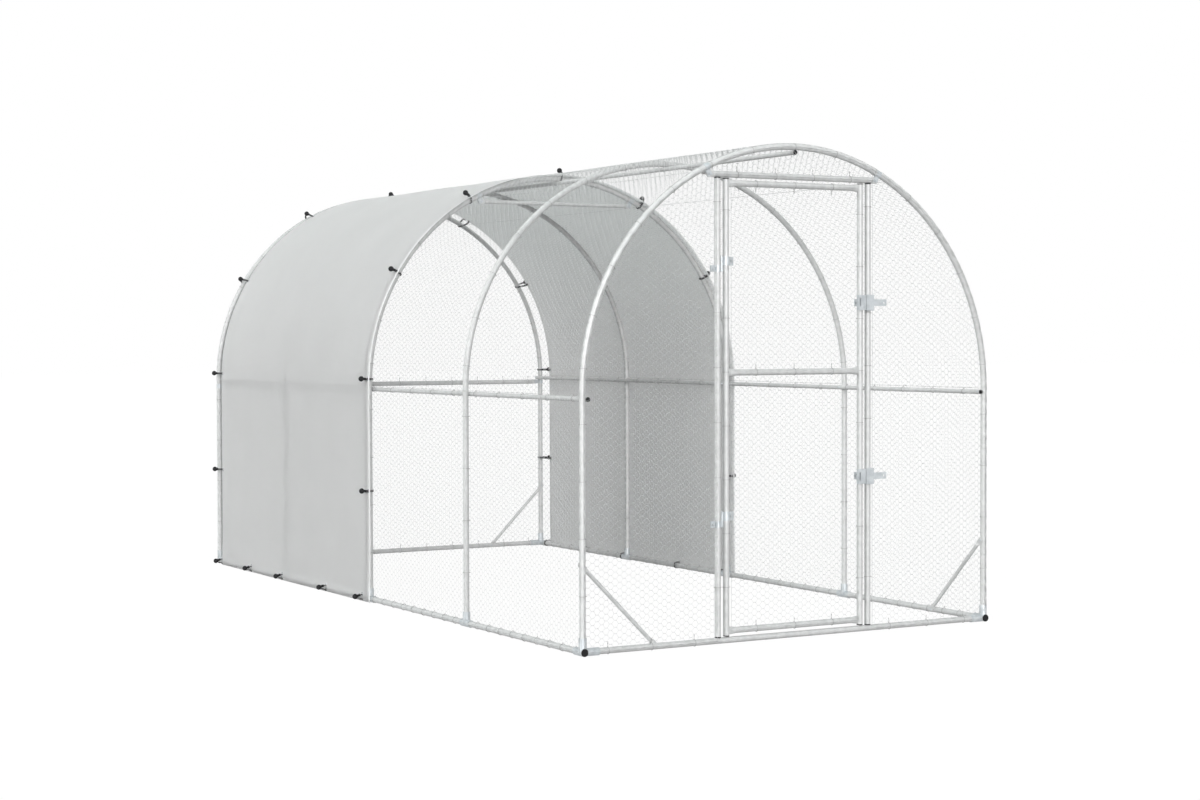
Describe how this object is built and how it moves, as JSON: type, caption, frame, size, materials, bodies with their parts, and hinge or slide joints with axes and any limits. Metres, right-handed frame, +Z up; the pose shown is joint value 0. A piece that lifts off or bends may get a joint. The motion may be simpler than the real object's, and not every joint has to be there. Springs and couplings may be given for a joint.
{
  "type": "walk-in chicken coop",
  "caption": "Walk-in tunnel poultry run of galvanised tube hoops with hexagonal netting, a hinged netted door with slide bolts and a grey rain cover over its rear half.",
  "frame": {"origin": "centre of the footprint on the ground", "axes": "+X to the right seen from the door end, -Y is the door end, +Z up from the ground"},
  "size_m": [2.0808, 4.0313, 2.0403],
  "materials": {
    "galvanised_steel": "galvanised tube, light grey, satin",
    "zinc_fittings": "bright zinc plated pressings",
    "netting_wire": "thin galvanised wire",
    "black_plastic": "black moulded plastic",
    "black_elastic": "braided elastic cord",
    "grey_cover_cloth": "coated woven cover cloth, light grey",
    "eyelet_metal": "pressed metal eyelet"
  },
  "bodies": {
    "frame": {"hoop_1_left_leg": "galvanised_steel", "hoop_1_right_leg": "galvanised_steel", "hoop_1_bows": "galvanised_steel", "hoop_2_left_leg": "galvanised_steel", "hoop_2_right_leg": "galvanised_steel", "hoop_2_bows": "galvanised_steel", "hoop_3_left_leg": "galvanised_steel", "hoop_3_right_leg": "galvanised_steel", "hoop_3_bows": "galvanised_steel", "hoop_4_left_leg": "galvanised_steel", "hoop_4_right_leg": "galvanised_steel", "hoop_4_bows": "galvanised_steel", "hoop_5_left_leg": "galvanised_steel", "hoop_5_right_leg": "galvanised_steel", "hoop_5_bows": "galvanised_steel", "front_base_rail": "galvanised_steel", "rear_base_rail": "galvanised_steel", "left_base_rails": "galvanised_steel", "right_base_rails": "galvanised_steel", "left_mid_rail": "galvanised_steel", "right_mid_rail": "galvanised_steel", "rear_mid_rail": "galvanised_steel", "ridge_pole": "galvanised_steel", "collar_tie": "galvanised_steel", "door_header": "galvanised_steel", "left_door_post": "galvanised_steel", "right_door_post": "galvanised_steel", "corner_braces": "galvanised_steel", "corner_connectors": "zinc_fittings", "foot_tees": "zinc_fittings", "tie_clamps": "zinc_fittings", "hinge_post_clamps": "zinc_fittings", "latch_post_brackets": "zinc_fittings", "frame_screws": "zinc_fittings", "frame_clamp_bolts": "zinc_fittings", "left_wall_net": "netting_wire", "right_wall_net": "netting_wire", "left_roof_net": "netting_wire", "top_roof_net": "netting_wire", "right_roof_net": "netting_wire", "rear_net": "netting_wire", "front_net": "netting_wire", "frame_end_plugs": "black_plastic", "bungee_balls": "black_plastic", "bungee_loops": "black_elastic", "rain_cover": "grey_cover_cloth", "cover_eyelets": "eyelet_metal"},
    "door": {"door_hinge_stile": "galvanised_steel", "door_latch_stile": "galvanised_steel", "door_top_rail": "galvanised_steel", "door_mid_rail": "galvanised_steel", "door_bottom_rail": "galvanised_steel", "door_net": "netting_wire", "door_end_plugs": "black_plastic", "hinge_door_clamps": "zinc_fittings", "latch_keepers": "zinc_fittings", "door_clamp_bolts": "zinc_fittings"},
    "upper_bolt": {"upper_latch_bolt": "zinc_fittings"},
    "lower_bolt": {"lower_latch_bolt": "zinc_fittings"}
  },
  "joints": [
    {"name": "door_hinge", "type": "hinge", "parent": "frame", "child": "door", "pos_m": [-0.35, -1.9875, 0.999], "axis": [0, 0, -1], "range_deg": [0, 90]},
    {"name": "upper_bolt_slide", "type": "slide", "parent": "frame", "child": "upper_bolt", "axis": [-1, 0, 0], "range_m": [0, 0.036]},
    {"name": "lower_bolt_slide", "type": "slide", "parent": "frame", "child": "lower_bolt", "axis": [-1, 0, 0], "range_m": [0, 0.036]}
  ]
}
